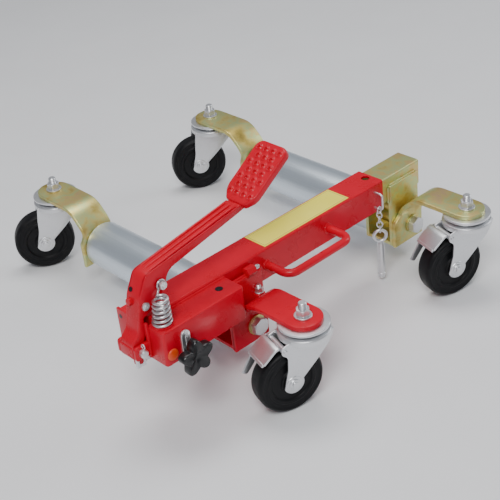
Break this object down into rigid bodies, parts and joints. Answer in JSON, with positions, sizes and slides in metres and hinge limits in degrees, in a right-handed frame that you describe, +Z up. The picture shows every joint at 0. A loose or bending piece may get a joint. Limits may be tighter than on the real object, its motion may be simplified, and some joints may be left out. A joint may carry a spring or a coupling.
{
  "type": "wheel dolly",
  "caption": "Telescoping tube frame with two long rollers on swivel casters and a ratchet foot pedal that closes the rollers under a tyre.",
  "frame": {"origin": "on the floor, midway between the two roller axes with the dolly closed, at the middle of the rollers' length", "axes": "+X along the cross tube toward its sliding end, +Y along the rollers away from the cross tube, +Z up"},
  "size_m": [0.5908, 0.6648, 0.3139],
  "materials": {
    "red_paint": "gloss",
    "yellow_zinc": "satin",
    "bright_zinc": "satin",
    "roller_aluminium": "satin",
    "black_rubber": "matte",
    "black_plastic": "satin",
    "label_film": "gloss",
    "orange_plastic": "gloss"
  },
  "bodies": {
    "frame": {"outer_tube": "red_paint", "tube_end_plate": "red_paint", "left_saddle": "red_paint", "front_left_arm": "red_paint", "rear_left_arm": "yellow_zinc", "carry_handle": "red_paint", "label_plate": "label_film", "ratchet_housing": "red_paint", "housing_plug": "orange_plastic", "release_tab": "bright_zinc", "knob_stud": "bright_zinc", "pawl_pin": "bright_zinc", "stop_pin": "bright_zinc", "arm_bolt": "bright_zinc", "chain_eye": "bright_zinc", "spring_seat": "red_paint", "pivot_pin": "bright_zinc", "cotter_pin": "bright_zinc", "left_axle_bolt": "bright_zinc", "left_axle_washers": "yellow_zinc", "left_axle_nut": "bright_zinc", "left_caster_stems": "bright_zinc", "left_caster_races": "bright_zinc", "return_spring": "bright_zinc"},
    "slide": {"inner_tube": "yellow_zinc", "right_saddle": "yellow_zinc", "front_right_arm": "yellow_zinc", "rear_right_arm": "yellow_zinc", "right_axle_bolt": "bright_zinc", "right_axle_washers": "yellow_zinc", "right_axle_nut": "bright_zinc", "right_caster_stems": "bright_zinc", "right_caster_races": "bright_zinc"},
    "left_roller_spin": {"left_roller": "roller_aluminium", "left_roller_bearings": "black_plastic"},
    "right_roller_spin": {"right_roller": "roller_aluminium", "right_roller_bearings": "black_plastic"},
    "pedal": {"pedal_lever": "red_paint", "foot_pad": "red_paint", "hook_bolts": "bright_zinc"},
    "drive_rod": {"push_rod": "bright_zinc"},
    "pawl": {"ratchet_pawl": "bright_zinc"},
    "knob": {"star_knob": "black_plastic"},
    "pin_on_chain": {"pin_chain": "bright_zinc", "lock_pin": "bright_zinc"},
    "fl_swivel": {"fl_fork": "bright_zinc", "fl_spindle": "bright_zinc"},
    "fl_wheel_spin": {"fl_wheel": "black_rubber"},
    "fr_swivel": {"fr_fork": "bright_zinc", "fr_spindle": "bright_zinc"},
    "fr_wheel_spin": {"fr_wheel": "black_rubber"},
    "rl_swivel": {"rl_fork": "bright_zinc", "rl_spindle": "bright_zinc"},
    "rl_wheel_spin": {"rl_wheel": "black_rubber"},
    "rr_swivel": {"rr_fork": "bright_zinc", "rr_spindle": "bright_zinc"},
    "rr_wheel_spin": {"rr_wheel": "black_rubber"},
    "fl_brake_pedal": {"fl_brake": "bright_zinc"},
    "fr_brake_pedal": {"fr_brake": "bright_zinc"}
  },
  "joints": [
    {"name": "tube_slide", "type": "slide", "parent": "frame", "child": "slide", "axis": [1, 0, 0], "range_m": [0, 0.23]},
    {"name": "left_roller_turn", "type": "hinge", "parent": "frame", "child": "left_roller_spin", "pos_m": [-0.174, 0, 0.071], "axis": [0, 1, 0], "continuous": true},
    {"name": "right_roller_turn", "type": "hinge", "parent": "slide", "child": "right_roller_spin", "pos_m": [0.174, -0.0035, 0.071], "axis": [0, 1, 0], "continuous": true},
    {"name": "pedal_hinge", "type": "hinge", "parent": "frame", "child": "pedal", "pos_m": [-0.368, -0.191, 0.133], "axis": [0, 1, 0], "range_deg": [0, 15], "stiffness_Nm_per_rad": 8, "springref_deg": -17.19, "deforming": ["return_spring"]},
    {"name": "drive_rod_slide", "type": "slide", "parent": "frame", "child": "drive_rod", "axis": [1, 0, 0], "range_m": [-0.0046, 0]},
    {"name": "pawl_hinge", "type": "hinge", "parent": "frame", "child": "pawl", "pos_m": [-0.258, -0.205, 0.129], "axis": [0, 1, 0], "range_deg": [-8, 0], "stiffness_Nm_per_rad": 0.05, "springref_deg": 28.65},
    {"name": "knob_turn", "type": "hinge", "parent": "frame", "child": "knob", "pos_m": [-0.319, -0.255, 0.122], "axis": [0, 1, 0], "continuous": true},
    {"name": "pin_swing", "type": "hinge", "parent": "frame", "child": "pin_on_chain", "pos_m": [0.099, -0.208, 0.131], "axis": [0, 1, 0], "range_deg": [-8, 60]},
    {"name": "fl_swivel_turn", "type": "hinge", "parent": "frame", "child": "fl_swivel", "pos_m": [-0.181, -0.319, 0.115], "axis": [0, 0, 1], "continuous": true},
    {"name": "fl_wheel_turn", "type": "hinge", "parent": "fl_swivel", "child": "fl_wheel_spin", "pos_m": [-0.21176, -0.31018, 0.05], "axis": [0.2756, 0.9613, 0], "continuous": true},
    {"name": "fr_swivel_turn", "type": "hinge", "parent": "slide", "child": "fr_swivel", "pos_m": [0.174, -0.3155, 0.115], "axis": [0, 0, 1], "continuous": true},
    {"name": "fr_wheel_turn", "type": "hinge", "parent": "fr_swivel", "child": "fr_wheel_spin", "pos_m": [0.14324, -0.30668, 0.05], "axis": [0.2756, 0.9613, 0], "continuous": true},
    {"name": "rl_swivel_turn", "type": "hinge", "parent": "frame", "child": "rl_swivel", "pos_m": [-0.18, 0.257, 0.115], "axis": [0, 0, 1], "continuous": true},
    {"name": "rl_wheel_turn", "type": "hinge", "parent": "rl_swivel", "child": "rl_wheel_spin", "pos_m": [-0.20799, 0.27251, 0.05], "axis": [0.4848, 0.8746, 0], "continuous": true},
    {"name": "rr_swivel_turn", "type": "hinge", "parent": "slide", "child": "rr_swivel", "pos_m": [0.165, 0.2535, 0.115], "axis": [0, 0, 1], "continuous": true},
    {"name": "rr_wheel_turn", "type": "hinge", "parent": "rr_swivel", "child": "rr_wheel_spin", "pos_m": [0.13701, 0.26901, 0.05], "axis": [0.4848, 0.8746, 0], "continuous": true},
    {"name": "fl_brake_hinge", "type": "hinge", "parent": "fl_swivel", "child": "fl_brake_pedal", "pos_m": [-0.22041, -0.3077, 0.106], "axis": [0.2756, 0.9613, 0], "range_deg": [-12, 0]},
    {"name": "fr_brake_hinge", "type": "hinge", "parent": "fr_swivel", "child": "fr_brake_pedal", "pos_m": [0.13459, -0.3042, 0.106], "axis": [0.2756, 0.9613, 0], "range_deg": [-12, 0]}
  ],
  "couplings": [
    {"joint": "drive_rod_slide", "follows": "pedal_hinge", "m_per_rad": -0.017}
  ]
}
